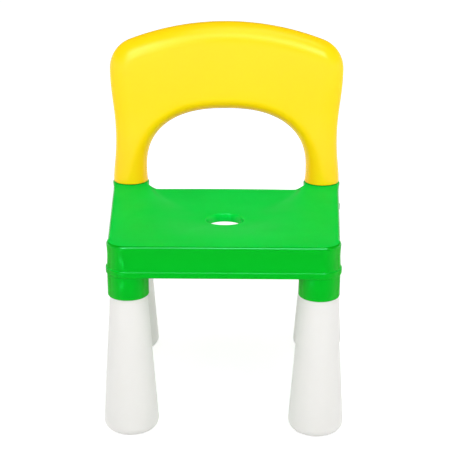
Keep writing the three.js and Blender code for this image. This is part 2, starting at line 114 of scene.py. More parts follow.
class SeatSizes(bpy.types.PropertyGroup):
    """Sizes of the seat moulding."""

    corner_radius: length("Corner radius", "Radius of the corner columns and collars", 22.8)
    skirt_height: length("Skirt height", "From the seat's border down to the rim's underside", 36)
    skirt_hollow: length("Skirt hollow", "How far the skirt curves in between rim and top", 0.6)
    side_inset: length("Side inset", "How far each side wall lies inside the columns", 1.2)
    edge_round: length("Edge rounding", "Rounding between skirt and top", 3.4)
    edge_blend: length("Edge blend", "Over which the rounding tightens towards a column", 16)
    rim_height: length("Rim height", "Height of the rim round the bottom of the skirt", 7)
    rim_proud: length("Rim proud", "How far the rim stands out of the skirt", 1.4)
    rim_round: length("Rim rounding", "Rounding of the rim's edges", 0.9)
    wall: length("Skirt wall", "Thickness of the skirt", 2.8)
    panel: length("Panel", "Thickness of the seat panel", 3)
    rear_setback: length("Rear setback", "Ends of the rear wall ahead of the rear legs", 20)
    rear_bow: length("Rear bow", "How far the rear wall bows back at its middle", 1.5)
    rear_fillet: length("Rear fillet", "Between the rear wall and each rear column", 12)
    dish_depth: length("Dish depth", "Depth of the dish in the panel", 5.8)
    dish_rear_depth: length("Dish rear depth", "What is left of the depth at the rear wall", 4)
    dish_front_margin: length("Front margin", "Flat border along the front", 25)
    dish_side_margin: length("Side margin", "Flat border along each side", 43)
    dish_side_slope: length("Side slope", "Slope between the side border and the dish", 62)
    dish_corner_slope: length("Corner slope", "The same slope at the rear wall", 14)
    hole_radius: length("Hole radius", "Radius of the hand and drain hole", 21.5)
    hole_forward: length("Hole forward", "Hole ahead of the panel's middle", 2)
    hole_round: length("Hole rounding", "Rounding of the hole's upper edge", 1.5)
    hole_lip_depth: length("Hole lip depth", "Depth of the lip under the hole", 10.2)
    hole_lip_wall: length("Hole lip wall", "Thickness of the lip", 2.4)
    rib_depth: length("Rib depth", "Depth of the ribs below the panel", 11)
    rib_thickness: length("Rib thickness", "Thickness of the ribs", 2.2)
    rib_pitch: length("Rib pitch", "Between the two ribs of each pair", 96)
    collar_round: length("Collar rounding", "Rounding of a collar's mouth", 1.5)
    socket_gap: length("Socket gap", "Clearance of a socket round what it holds", 0.3)


class BackrestSizes(bpy.types.PropertyGroup):
    """Sizes of the backrest."""

    post_ledge: length("Post ledge", "Top of a rear column left free round a post", 1.2)
    post_edge_round: length("Post edge", "Rounding of a post where it meets the seat", 0.8)
    post_gap: length("Post gap", "Shadow gap between a post and the seat", 0.9)
    peg_shoulder: length("Peg shoulder", "Rim of a post round its peg", 5.6)
    bend_radius: length("Bend radius", "The backrest leans back along this arc", 1400)
    wall: length("Wall", "Thickness of the blown wall", 2.5)
    thickness: length("Thickness", "Thickness of the upper part", 32)
    edge_radius: length("Edge radius", "How far the rounding of the outer edge reaches in", 26)
    opening_radius: length("Opening edge radius", "The same at the opening", 15)
    flattening_rise: length("Flattening", "Over which a round post turns flatter", 95)
    waist_rise: length("Waist rise", "Narrowest place above the seat", 60)
    waist_inset: length("Waist inset", "How far the waist lies inside the foot", 4)
    shoulder_outset: length("Shoulder outset", "Widest place beyond the foot", 1.9)
    shoulder_radius: length("Shoulder radius", "Rounding of each shoulder", 38)
    crown_radius: length("Crown radius", "Radius of the top edge", 338)
    opening_rise: length("Opening rise", "Seat's border to the top of the opening", 93.5)
    opening_widest: length("Opening widest", "Rise of the opening's widest place", 17)
    opening_squareness: FloatProperty(
        name="Opening squareness",
        description="Exponent of the superellipse that the opening follows",
        default=2.4,
        min=2,
        max=6,
    )


class LegSizes(bpy.types.PropertyGroup):
    """Sizes of the four legs."""

    foot_radius: length("Foot radius", "Taper continued down to the floor", 31.9)
    collar_wall: length("Collar wall", "Collar round the leg at its mouth", 1.9)
    foot_round: length("Foot rounding", "Rounding between side and sole", 10)
    wall: length("Wall", "Thickness of the leg's wall", 2.5)
    sole: length("Sole", "Thickness of the sole", 3)


class ChairColours(bpy.types.PropertyGroup):
    """Colours of the plastics."""

    seat: colour("Seat", "Grass green of the seat moulding", (0.0, 0.77, 0.06))
    backrest: colour("Backrest", "Golden yellow of the backrest", (1.0, 0.675, 0.002))
    legs: colour("Legs", "Off-white of the legs", (0.79, 0.78, 0.755))


class StudioSettings(bpy.types.PropertyGroup):
    """Light levels of the studio. The powers are in watts."""

    horizon: strength("Horizon", "Light from all round the horizon", 3.5)
    zenith: strength("Zenith", "Even light from above", 0.35)
    ceiling: strength("Ceiling", "Brightness of the ceiling in reflections", 0.05)
    floor_glow: strength("Floor glow", "Lifts the floor to white where it is seen", 0.67)
    overhead_power: strength("Overhead", "Softbox overhead", 7.2)
    key_power: strength("Key", "Softbox above the front", 8)
    left_power: strength("Left card", "Card for shine, upper left", 7.5)
    middle_power: strength("Middle card", "Card for shine above the front", 2.6)
    right_power: strength("Right card", "Card for shine, upper right", 4.5)
    strip_power: strength("Strip card", "Narrow card for shine on the floor, front left", 0.4)


# ------------------------------------------------------------------ mesh making


class Surface:
    """Collects points and faces, then welds them into one mesh object."""

    def __init__(self):
        self.points = []
        self.faces = []

    def add(self, points):
        """Adds points and returns their indices."""
        start = len(self.points)
        self.points.extend(tuple(float(value) for value in point) for point in points)
        return list(range(start, len(self.points)))

    def bridge(self, low, high):
        """Quads between two closed rings of equally many points."""
        count = len(low)
        for step in range(count):
            turn = (step + 1) % count
            self.faces.append((low[step], low[turn], high[turn], high[step]))

    def stack(self, rings):
        """Rings of points joined one after the other; returns the indices of each ring."""
        made = [self.add(ring) for ring in rings]
        for low, high in zip(made, made[1:]):
            self.bridge(low, high)
        return made

    def cap(self, ring):
        """Fan over a ring, around a point at its middle."""
        corners = np.array([self.points[index] for index in ring])
        middle = self.add([corners.mean(axis=0)])[0]
        for step, here in enumerate(ring):
            self.faces.append((here, ring[(step + 1) % len(ring)], middle))

    def turn(self, profile, centre, steps=96):
        """Closed body turned round a vertical axis; the (radius, height) pairs start and end
        near the axis, where the body is capped."""
        made = self.stack(turned_rings(profile, centre, steps))
        self.cap(made[0])
        self.cap(made[-1])

    def sheet(self, rim, holes, height, pitch):
        """Triangles over a level outline with holes, lifted to height(x, y). The rim and the
        holes are point lists; returns the indices of the rim and of each hole."""
        loops = [np.array(loop)[:, :2] for loop in (rim, *holes)]
        starts = np.cumsum([0] + [len(loop) for loop in loops])
        edges = []
        for start, loop in zip(starts, loops):
            count = len(loop)
            edges += [(int(start + k), int(start + (k + 1) % count)) for k in range(count)]
        low, high = loops[0].min(axis=0), loops[0].max(axis=0)
        xs, ys = np.meshgrid(np.arange(low[0], high[0], pitch), np.arange(low[1], high[1], pitch))
        xs[1::2] += pitch / 2
        grid = np.stack([xs.ravel(), ys.ravel()], axis=1)
        clearance = 0.6 * pitch
        keep = within(grid, loops)
        for loop in loops:
            keep &= gap_to(grid, loop) > clearance
        flat = np.vstack([*loops, grid[keep]])
        points = [Vector((float(x), float(y))) for x, y in flat]
        places, _, faces, origins, _, _ = delaunay_2d_cdt(points, edges, [], 0, MERGE_GAP)
        spots = np.array([tuple(place) for place in places])
        middles = np.array([spots[list(face)].mean(axis=0) for face in faces])
        heights = height(spots[:, 0], spots[:, 1])
        made = self.add(np.column_stack([spots, heights]))
        for face, wanted in zip(faces, within(middles, loops)):
            if wanted:
                self.faces.append(tuple(made[corner] for corner in face))
        found = {old: made[new] for new, olds in enumerate(origins) for old in olds}
        return [
            [found[start + k] for k in range(len(loop))] for start, loop in zip(starts, loops)
        ]

    def to_object(self, name, crisp_angle=CRISP_ANGLE):
        """Smooth-shaded mesh object; edges sharper than the angle stay crisp."""
        mesh = bpy.data.meshes.new(name)
        mesh.from_pydata(self.points, [], self.faces)
        work = bmesh.new()
        work.from_mesh(mesh)
        bmesh.ops.remove_doubles(work, verts=work.verts, dist=WELD_GAP)
        bmesh.ops.recalc_face_normals(work, faces=work.faces)
        for face in work.faces:
            face.smooth = True
        for edge in work.edges:
            edge.smooth = len(edge.link_faces) == 2 and edge.calc_face_angle(0) < crisp_angle
        work.to_mesh(mesh)
        work.free()
        return add_object(name, mesh)


def add_object(name, data):
    """New object in the scene, made from a mesh, lamp or camera."""
    item = bpy.data.objects.new(name, data)
    bpy.context.scene.collection.objects.link(item)
    return item


def place_piece(piece, node, material):
    """Gives a piece its material and sets it in place of a solid, on the body of that name."""
    piece.data.materials.append(material)
    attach(piece, node)
    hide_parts(node)


def smooth_step(value):
    """Eased step from 0 to 1."""
    share = np.clip(value, 0, 1)
    return share * share * (3 - 2 * share)


def mix(low, high, share):
    """Value between two others."""
    return low + (high - low) * share


def spaced(points, count):
    """A polyline resampled to count + 1 points at equal distances along it."""
    line = np.array(points, float)
    run = np.concatenate([[0], np.cumsum(np.linalg.norm(np.diff(line, axis=0), axis=1))])
    at = np.linspace(0, run[-1], count + 1)
    return np.column_stack([np.interp(at, run, values) for values in line.T])


def gap_to(points, line, closed=True):
    """Distance of each point to a polyline."""
    ends = np.vstack([line, line[:1]]) if closed else line
    start = ends[:-1]
    way = np.diff(ends, axis=0)
    span = np.maximum((way**2).sum(axis=1), TINY)
    nearest = []
    for part in np.array_split(points, len(points) // POINTS_AT_A_TIME + 1):
        to_point = part[:, None, :] - start[None, :, :]
        share = np.clip((to_point * way).sum(axis=2) / span, 0, 1)
        away = to_point - share[..., None] * way
        nearest.append(np.sqrt((away**2).sum(axis=2)).min(axis=1))
    return np.concatenate(nearest)


def inside(points, loop):
    """Whether each point lies inside a closed loop."""
    found = np.zeros(len(points), bool)
    for (ax, ay), (bx, by) in zip(loop, np.roll(loop, -1, axis=0)):
        spans = (ay > points[:, 1]) != (by > points[:, 1])
        rise = by - ay if by != ay else 1.0
        found ^= spans & (points[:, 0] < ax + (points[:, 1] - ay) / rise * (bx - ax))
    return found


def within(points, loops):
    """Whether each point lies inside the first loop and outside all the others."""
    found = inside(points, loops[0])
    for loop in loops[1:]:
        found &= ~inside(points, loop)
    return found


def bend(centre, radius, start, end, steps, rise=None):
    """Points of an arc round a centre; rise is its upright radius where that differs."""
    rise = radius if rise is None else rise
    angles = [start + (end - start) * step / steps for step in range(steps + 1)]
    return [(centre[0] + radius * math.cos(a), centre[1] + rise * math.sin(a)) for a in angles]


def ring_at(centre, radius, height, steps):
    """Level circle of points, counter-clockwise seen from above."""
    turns = [2 * math.pi * step / steps for step in range(steps)]
    x = [centre[0] + radius * math.cos(turn) for turn in turns]
    y = [centre[1] + radius * math.sin(turn) for turn in turns]
    return np.column_stack([x, y, np.full(steps, height)])


def turned_rings(profile, centre, steps):
    """Level circles round an axis from (radius, height) pairs."""
    return [ring_at(centre, radius, height, steps) for radius, height in profile]


def on_side(axis, side):
    """An axis of the +X side, or its mirror image for side -1."""
    return Vector((side * axis.x, axis.y))


# ------------------------------------------------------------------ plastic finishes


# Each finish gives: the deep colour as shares of the plain one, used for flow marks and, where a
# mask is given, for painted shade;
# the strength of reflections face on, and at a glancing angle where that differs, with their tint;
# the same for polished places; how much light enters, its scatter and its depth; flow marks;
# roughness and how far it varies; and the scale of the orange peel.
SEAT_FINISH = {
    # In the seat the deep colour is also painted shade: the upright faces take it, so the level top
    # looks lit from above.
    "deep": (1.0, 0.56, 0.04),
    "reflection": 0.9,
    "glancing": 0.025,
    "tint": (0.03, 1.0, 0.23),
    "polished_reflection": 1.6,
    "polished_tint": (0.22, 1.0, 0.65),
    "translucency": 0.25,
    "scatter": (0.1, 1.0, 0.3),
    "scatter_depth": 6 * MM,
    "flow": 0.15,
    "roughness": 0.17,
    "variation": 0.05,
    "peel": 240.0,
}
BACKREST_FINISH = {
    # In the backrest the deep colour is also painted shade: a deeper orange where shade falls.
    "deep": (1.0, 0.73, 0.8),
    "reflection": 0.4,
    "glancing": 0.3,
    "tint": (1.0, 0.95, 0.65),
    "flow": 0.07,
    "roughness": 0.24,
    "variation": 0.02,
    "peel": 220.0,
}
LEG_FINISH = {
    "deep": (0.965, 0.965, 0.965),
    "reflection": 0.4,
    "tint": (1.0, 1.0, 1.0),
    "translucency": 0.1,
    "scatter": (1.0, 0.95, 0.85),
    "scatter_depth": 4 * MM,
    "flow": 0.4,
    "roughness": 0.36,
    "variation": 0.05,
    "peel": 240.0,
}
PLASTIC_IOR = 1.46
BUMP_STRENGTH = 0.15
BUMP_DISTANCE = 0.06 * MM
GLANCING_RANGE = (0.2, 0.6)  # of Facing: face on up to the first, glancing from the second
GRAINED_REFLECTION = 0.6  # share of the reflection that grained faces keep


def feed(tree, socket, value):
    """Links an input to another node's output, or sets it to a plain value."""
    if isinstance(value, bpy.types.NodeSocket):
        tree.links.new(value, socket)
    else:
        socket.default_value = value


def feed_all(tree, sockets, values):
    """Feeds inputs by their names."""
    for name, value in values.items():
        feed(tree, sockets[name], value)


def add_node(tree, kind, inputs=None, **settings):
    """Shader node with its settings made and its named inputs fed."""
    node = tree.nodes.new(f"ShaderNode{kind}")
    for name, value in settings.items():
        setattr(node, name, value)
    feed_all(tree, node.inputs, inputs or {})
    return node


def math_node(tree, operation, *values, clamp=False):
    """Math node fed by sockets or numbers; returns its output."""
    node = add_node(tree, "Math", operation=operation, use_clamp=clamp)
    for socket, value in zip(node.inputs, values):
        feed(tree, socket, value)
    return node.outputs[0]


def noise_node(tree, place, scale, detail, roughness=0.5):
    """Noise texture in object space; returns its factor output."""
    inputs = {"Vector": place, "Scale": scale, "Detail": detail, "Roughness": roughness}
    return add_node(tree, "TexNoise", inputs).outputs["Fac"]


def range_node(tree, value, source, target=(0.0, 1.0)):
    """Eases a value from the source pair to the target pair, clamped at both ends."""
    names = ("From Min", "From Max", "To Min", "To Max")
    inputs = {"Value": value, **dict(zip(names, (*source, *target)))}
    return add_node(tree, "MapRange", inputs, interpolation_type="SMOOTHSTEP").outputs["Result"]


def colour_mix(tree, share, first, second):
    """Colour between two others; returns the output."""
    inputs = {"Factor": share, "A": first, "B": second}
    return add_node(tree, "Mix", data_type="RGBA", inputs=inputs).outputs["Result"]


def axes_of(tree, kind):
    """X, Y and Z of the texture coordinate named, as the outputs of one node."""
    place = add_node(tree, "TexCoord").outputs[kind]
    return add_node(tree, "SeparateXYZ", {"Vector": place}).outputs


def new_group(name, inputs, outputs):
    """Empty node group, from the defaults of its inputs by name, and the names of its outputs.
    A name that ends in colour makes a colour socket. Returns the tree, and the sockets inside
    it that give the inputs and take the outputs."""
    tree = bpy.data.node_groups.new(name, "ShaderNodeTree")
    for in_out, labels in (("INPUT", inputs), ("OUTPUT", outputs)):
        for label in labels:
            kind = "NodeSocketColor" if label.lower().endswith("colour") else "NodeSocketFloat"
            socket = tree.interface.new_socket(name=label, in_out=in_out, socket_type=kind)
            if in_out == "INPUT":
                socket.default_value = inputs[label]
    entry, leave = tree.nodes.new("NodeGroupInput"), tree.nodes.new("NodeGroupOutput")
    return tree, entry.outputs, leave.inputs


def place_group(tree, name, build, inputs):
    """Node of a shared group, which is built when it is first needed; returns its outputs."""
    group = bpy.data.node_groups.get(name) or build(name)
    return add_node(tree, "Group", inputs, node_tree=group).outputs


def moulded_plastic(name):
    """Node group: pigment that flowed unevenly, painted shade from its Thickness input,
    soft sheen variation and orange peel.
    """
    inputs = {
        "Colour": (0.8, 0.8, 0.8, 1),
        "Deep colour": (0.7, 0.7, 0.7, 1),
        "Flow marks": 0.5,
        "Thickness": 0.0,
        "Gloss": 0.3,
        "Gloss variation": 0.08,
        "Orange peel scale": 260.0,
    }
    tree, entry, leave = new_group(name, inputs, ("Colour", "Roughness", "Height"))
    place = add_node(tree, "TexCoord").outputs["Object"]
    clouds = noise_node(tree, place, scale=9.0, detail=3.0)
    grain = noise_node(tree, place, scale=1400.0, detail=2.0)
    streaks = range_node(tree, clouds, (0.35, 0.7))
    amount = math_node(tree, "MULTIPLY", streaks, entry["Flow marks"])
    speckle = range_node(tree, grain, (0.4, 0.75), (0.0, 0.12))
    uneven = math_node(tree, "ADD", amount, speckle)
    # The Thickness input is painted shade: it turns the colour towards the deep one.
    share = math_node(tree, "ADD", uneven, entry["Thickness"], clamp=True)
    feed(tree, leave["Colour"], colour_mix(tree, share, entry["Colour"], entry["Deep colour"]))

    handled = noise_node(tree, place, scale=22.0, detail=4.0, roughness=0.6)
    fine = noise_node(tree, place, scale=420.0, detail=2.0)
    patches = range_node(tree, handled, (0.3, 0.75), (-0.6, 1.0))
    spots = range_node(tree, fine, (0.3, 0.7), (-0.2, 0.2))
    spread = math_node(tree, "ADD", patches, spots)
    change = math_node(tree, "MULTIPLY", spread, entry["Gloss variation"])
    rough = math_node(tree, "ADD", change, entry["Gloss"], clamp=True)
    feed(tree, leave["Roughness"], rough)

    peel = noise_node(tree, place, entry["Orange peel scale"], detail=1.5)
    waves = noise_node(tree, place, scale=38.0, detail=1.0)
    pores = noise_node(tree, place, scale=2600.0, detail=1.0)
    pore_height = 0.05
    rolling = math_node(tree, "ADD", waves, peel)
    feed(tree, leave["Height"], math_node(tree, "MULTIPLY_ADD", pores, pore_height, rolling))
    return tree


def mould_grain(name):
    """Node group: the fine matt grain that a blasted mould face leaves."""
    inputs = {
        "Mask": 0.0,
        "Grain scale": 900.0,
        "Grain height": 0.5,
        "Grain roughness": 0.25,
        "Height in": 0.0,
        "Roughness in": 0.3,
    }
    tree, entry, leave = new_group(name, inputs, ("Height", "Roughness"))
    place = add_node(tree, "TexCoord").outputs["Object"]
    pits = noise_node(tree, place, entry["Grain scale"], detail=1.0)
    deep = math_node(tree, "MULTIPLY", entry["Mask"], entry["Grain height"])
    feed(tree, leave["Height"], math_node(tree, "MULTIPLY_ADD", pits, deep, entry["Height in"]))
    matt = math_node(tree, "MULTIPLY", entry["Mask"], entry["Grain roughness"])
    rough = math_node(tree, "ADD", matt, entry["Roughness in"], clamp=True)
    feed(tree, leave["Roughness"], rough)
    return tree


def parting_line(name):
    """Node group: the faint raised line that the two halves of a mould leave."""
    inputs = {"Distance": 0.0, "Width": 0.3 * MM, "Height in": 0.0, "Roughness in": 0.3}
    tree, entry, leave = new_group(name, inputs, ("Height", "Roughness"))
    away = math_node(tree, "ABSOLUTE", entry["Distance"])
    mask = range_node(tree, away, (0.0, entry["Width"]), (1.0, 0.0))
    for label, rise in (("Height", 1.6), ("Roughness", 0.2)):
        raised = math_node(tree, "MULTIPLY_ADD", mask, rise, entry[f"{label} in"])
        feed(tree, leave[label], raised)
    return tree


def new_material(name):
    """Empty material; returns it with its node tree and the inputs of its shader."""
    material = bpy.data.materials.new(name)
    material.use_nodes = True
    tree = material.node_tree
    return material, tree, tree.nodes["Principled BSDF"].inputs


def plastic(name, colour_value, finish, parting=None, grained=None, shade_painting=None, polished=None):
    """Moulded plastic material with one of the finishes above. The other four are functions
    that make a socket in the material: parting the distance to the mould's parting face, and
    the rest a mask each, of where the mould is grained, where shade is painted in the deep
    colour, and where the mould is polished."""
    material, tree, shader = new_material(name)
    if "translucency" in finish:
        looks = {
            "Subsurface Weight": finish["translucency"],
            "Subsurface Radius": finish["scatter"],
            "Subsurface Scale": finish["scatter_depth"],
        }
        feed_all(tree, shader, looks)
    deep = [value * share for value, share in zip(colour_value, finish["deep"])]
    inputs = {
        "Colour": (*colour_value, 1),
        "Deep colour": (*deep, 1),
        "Flow marks": finish["flow"],
        "Gloss": finish["roughness"],
        "Gloss variation": finish["variation"],
        "Orange peel scale": finish["peel"],
    }
    # Painted shade: the mask darkens the colour towards the deep one where shade falls.
    if shade_painting:
        inputs["Thickness"] = shade_painting(tree)
    body = place_group(tree, "Moulded plastic", moulded_plastic, inputs)
    height, rough = body["Height"], body["Roughness"]
    reflection, tint = finish["reflection"], (*finish["tint"], 1)
    if "glancing" in finish:
        facing = add_node(tree, "LayerWeight", {"Blend": 0.5}).outputs["Facing"]
        reflection = range_node(tree, facing, GLANCING_RANGE, (reflection, finish["glancing"]))
    if polished:
        mask = polished(tree)
        more = math_node(tree, "SUBTRACT", finish["polished_reflection"], reflection)
        reflection = math_node(tree, "MULTIPLY_ADD", mask, more, reflection)
        tint = colour_mix(tree, mask, tint, (*finish["polished_tint"], 1))
    if grained:
        mask = grained(tree)
        kept = range_node(tree, mask, (0.0, 1.0), (1.0, GRAINED_REFLECTION))
        reflection = math_node(tree, "MULTIPLY", reflection, kept)
        inputs = {"Mask": mask, "Height in": height, "Roughness in": rough}
        grain = place_group(tree, "Mould grain", mould_grain, inputs)
        height, rough = grain["Height"], grain["Roughness"]
    if parting:
        inputs = {"Distance": parting(tree), "Height in": height, "Roughness in": rough}
        line = place_group(tree, "Parting line", parting_line, inputs)
        height, rough = line["Height"], line["Roughness"]
    inputs = {"Strength": BUMP_STRENGTH, "Distance": BUMP_DISTANCE, "Height": height}
    looks = {
        "Base Color": body["Colour"],
        "Roughness": rough,
        "IOR": PLASTIC_IOR,
        "Specular IOR Level": reflection,
        "Specular Tint": tint,
        "Normal": add_node(tree, "Bump", inputs).outputs["Normal"],
    }
    feed_all(tree, shader, looks)
    return material


# ------------------------------------------------------------------ seat


def half_width(sizes, y):
    """Middle plane to the line that touches both columns of one side."""
    lean = (REAR_AXIS.x - FRONT_AXIS.x) / (REAR_AXIS.y - FRONT_AXIS.y)
    return FRONT_AXIS.x + sizes.corner_radius + (y - FRONT_AXIS.y) * lean


def front_face(sizes):
    """Y of the front of the skirt."""
    return FRONT_AXIS.y - sizes.corner_radius


def rear_wall(sizes):
    """Y of the ends of the rear wall."""
    return REAR_AXIS.y - sizes.rear_setback


def panel_middle(sizes):
    """Y halfway between the front of the skirt and the rear wall."""
    return (front_face(sizes) + rear_wall(sizes)) / 2


def skirt_foot(sizes):
    """Height of the rim's underside."""
    return SEAT_TOP - sizes.skirt_height


def seat_outline(sizes, offset):
    """Outline of the skirt, moved out by offset, as points counter-clockwise from the front."""
    radius = sizes.corner_radius + offset
    lean = math.atan2(REAR_AXIS.x - FRONT_AXIS.x, REAR_AXIS.y - FRONT_AXIS.y)
    reach = sizes.corner_radius + sizes.rear_fillet
    to_fillet = math.pi + math.asin((sizes.rear_setback - sizes.rear_fillet) / reach)
    fillet = REAR_AXIS + Vector((math.cos(to_fillet), math.sin(to_fillet))) * reach
    past = math.acos(1 - sizes.side_inset / radius)
    front_turn, rear_turn, fillet_turn = 20, 40, 12
    front_steps, side_steps, rear_steps = 14, 28, 14
    front = bend(FRONT_AXIS, radius, -QUARTER, past - lean, front_turn)
    rear = bend(REAR_AXIS, radius, -past - lean, to_fillet, rear_turn)
    back_off = to_fillet - math.pi
    hollow = bend(fillet, sizes.rear_fillet - offset, back_off, -QUARTER, fillet_turn)
    y = front_face(sizes) - offset
    face = [(FRONT_AXIS.x * (step + 0.5) / front_steps, y) for step in range(front_steps)]
    side = []
    for step in range(1, side_steps):
        share = step / side_steps
        side.append(tuple(mix(a, b, share) for a, b in zip(front[-1], rear[0])))
    wall = []
    for step in range(1, rear_steps):
        share = 1 - step / rear_steps
        bow = sizes.rear_bow * (1 - share**2)
        wall.append((fillet.x * share, rear_wall(sizes) + bow + offset))
    right = face + front + side + rear + hollow + wall
    left = [(-x, y) for x, y in reversed(right)]
    return np.array(right + left)


def top_height(sizes, x, y):
    """Height of the seat's top at points of its plan."""
    middle = panel_middle(sizes)
    rearward = np.clip((y - middle) / (rear_wall(sizes) - middle), 0, 1)
    front_length = middle - front_face(sizes) - sizes.dish_front_margin
    forward = np.clip((middle - y) / front_length, 0, 1)
    rear_loss = (sizes.dish_depth - sizes.dish_rear_depth) * rearward**2
    depth = (sizes.dish_depth - rear_loss) * np.cos(forward * QUARTER) ** 2
    slope = mix(sizes.dish_side_slope, sizes.dish_corner_slope, smooth_step(rearward))
    in_from_border = half_width(sizes, y) - sizes.dish_side_margin - np.abs(x)
    return SEAT_TOP - depth * smooth_step(in_from_border / slope)


def rounding_ring(sizes, ledge, angle):
    """Ring on the rounding between skirt and top, `angle` round it from the skirt."""
    outer = seat_outline(sizes, 0)
    inner = seat_outline(sizes, -sizes.edge_round)
    to_column = np.hypot(np.abs(outer[:, 0]) - REAR_AXIS.x, outer[:, 1] - REAR_AXIS.y)
    away = smooth_step((to_column - sizes.corner_radius) / sizes.edge_blend)
    rounding = mix(ledge, sizes.edge_round, away)
    share = rounding * (1 - math.cos(angle)) / sizes.edge_round
    place = outer + (inner - outer) * share[:, None]
    drop = rounding * (1 - math.sin(angle))
    return level(place, top_height(sizes, place[:, 0], place[:, 1]) - drop)


def level(points, height):
    """Flat outline lifted to a height, or to a height for each point."""
    return np.column_stack([points, np.broadcast_to(height, len(points))])


def leg_radius(sizes, legs, height):
    """Radius of a leg's taper at a height."""
    neck = sizes.corner_radius - legs.collar_wall - sizes.socket_gap
    return legs.foot_radius - (legs.foot_radius - neck) * height / COLLAR_MOUTH


def skirt_rings(sizes, ledge):
    """Rings of the seat's outside, from the underside of the rim to the edge of the top."""
    bottom = skirt_foot(sizes)
    top = bottom + sizes.rim_height
    rounding = sizes.rim_round
    inner = sizes.rim_proud - rounding
    fillet = 0.3 * MM
    profile = bend((inner, bottom + rounding), rounding, -QUARTER, 0, 5)
    profile += bend((inner, top - rounding), rounding, 0, QUARTER, 5)
    profile += bend((fillet, top + fillet), fillet, -QUARTER, -math.pi, 3)[:-1]
    rings = [level(seat_outline(sizes, offset), height) for offset, height in profile]
    crown = rounding_ring(sizes, ledge, 0)
    spans = 12
    for step in range(spans):
        share = step / spans
        ring = seat_outline(sizes, -sizes.skirt_hollow * math.sin(math.pi * share))
        rings.append(level(ring, mix(top + fillet, crown[:, 2], share)))
    round_steps = 10
    angles = [QUARTER * step / round_steps for step in range(round_steps + 1)]
    return rings + [rounding_ring(sizes, ledge, angle) for angle in angles]


def add_panel(surface, sizes, peg, ledge):
    """Skirt, rim, dished panel with its hole and peg sockets, and the hollow underneath."""
    top_pitch, underside_pitch = 4.5 * MM, 9 * MM
    hole_steps, socket_steps = 72, 64
    outside = surface.stack(skirt_rings(sizes, ledge))
    hole = Vector((0, panel_middle(sizes) - sizes.hole_forward))

    def top(x, y):
        return top_height(sizes, x, y)

    def underside(x, y):
        return top(x, y) - sizes.panel

    def hole_ring(radius, rise):
        ring = ring_at(hole, radius, 0, hole_steps)
        ring[:, 2] = top(ring[:, 0], ring[:, 1]) + rise
        return ring

    rounding = sizes.hole_round
    socket = peg + sizes.socket_gap
    chamfer = 0.5 * MM
    axes = [on_side(REAR_AXIS, side) for side in (-1, 1)]
    mouths = [ring_at(axis, socket + chamfer, SEAT_TOP, socket_steps) for axis in axes]
    edge = [surface.points[index] for index in outside[-1]]
    hole_edge = hole_ring(sizes.hole_radius + rounding, 0)
    ends = surface.sheet(edge, [hole_edge, *mouths], top, top_pitch)
    walls = [(socket, SEAT_TOP - chamfer), (socket, PEG_END - sizes.socket_gap)]
    for axis, mouth in zip(axes, ends[2:]):
        inner = surface.stack(turned_rings(walls, axis, socket_steps))
        surface.bridge(mouth, inner[0])
        surface.cap(inner[-1])

    lip_radius = sizes.hole_radius + sizes.hole_lip_wall
    lip_round = 0.6 * MM
    lip_low = SEAT_TOP - sizes.dish_depth - sizes.hole_lip_depth + lip_round
    throat = bend((sizes.hole_radius + rounding, -rounding), rounding, QUARTER, math.pi, 6)
    lip = bend((sizes.hole_radius + lip_round, lip_low), lip_round, math.pi, 3 * QUARTER, 3)
    lip += bend((lip_radius - lip_round, lip_low), lip_round, -QUARTER, 0, 3)
    rings = [hole_ring(radius, rise) for radius, rise in throat[1:]]
    made = surface.stack(rings + turned_rings(lip, hole, hole_steps))
    surface.bridge(ends[1], made[0])

    inside_wall = seat_outline(sizes, -sizes.skirt_hollow - sizes.wall)
    lip_edge = ring_at(hole, lip_radius, 0, hole_steps)
    below = surface.sheet(inside_wall, [lip_edge], underside, underside_pitch)
    surface.bridge(made[-1], below[1])
    foot = surface.add(level(inside_wall, skirt_foot(sizes)))
    surface.bridge(below[0], foot)
    surface.bridge(foot, outside[0])


def add_columns(surface, sizes, legs, peg):
    """Corner columns with their collars and sockets."""
    gap, column = sizes.socket_gap, sizes.corner_radius
    socket_top = LEG_TOP + gap
    buried = column - sizes.skirt_hollow - sizes.wall / 3
    under_panel = SEAT_TOP - sizes.panel / 2
    mouth = leg_radius(sizes, legs, COLLAR_MOUTH) + gap
    inner = min(0.5 * MM, legs.collar_wall / 3)
    rise = sizes.collar_round
    outer = min(rise, column - mouth - inner)
    collar = [(leg_radius(sizes, legs, socket_top) + gap, socket_top)]
    collar += bend((mouth + inner, COLLAR_MOUTH + inner), inner, math.pi, 3 * QUARTER, 3)
    collar += bend((column - outer, COLLAR_MOUTH + rise), outer, -QUARTER, 0, 6, rise)
    collar += [
        (column, skirt_foot(sizes) + sizes.rim_round),
        (buried, skirt_foot(sizes) + sizes.rim_height),
        (buried, under_panel),
    ]
    web = SEAT_TOP - sizes.panel
    front = [(TURN_CENTRE, web), (peg, web), (peg, socket_top), *collar]
    front.append((TURN_CENTRE, under_panel))
    cup, cup_floor = peg + 2 * gap, PEG_END - 2 * gap
    rear = [(TURN_CENTRE, socket_top), *collar, (cup, under_panel)]
    rear += [(cup, cup_floor), (TURN_CENTRE, cup_floor)]
    for side in (-1, 1):
        surface.turn(front, on_side(FRONT_AXIS, side))
        surface.turn(rear, on_side(REAR_AXIS, side))


def add_rib(surface, sizes, start, end):
    """Upright rib under the panel, between two points of the plan."""
    spans = 40
    nose = 0.5 * MM
    draft = 1.25  # how much thicker a rib is at its root
    flat = 0.6  # share of the nose that is flat
    way = (end - start).normalized()
    across = Vector((-way.y, way.x)) * sizes.rib_thickness / 2
    low = SEAT_TOP - sizes.dish_depth - sizes.panel - sizes.rib_depth
    rings = []
    for step in range(spans + 1):
        place = start.lerp(end, step / spans)
        high = float(top_height(sizes, place.x, place.y)) - sizes.panel / 2
        section = ((-draft, high), (-1, low + nose), (-flat, low), (flat, low), (1, low + nose))
        rings.append([(*(place + across * out), z) for out, z in (*section, (draft, high))])
    made = surface.stack(rings)
    surface.cap(made[0])
    surface.cap(made[-1])


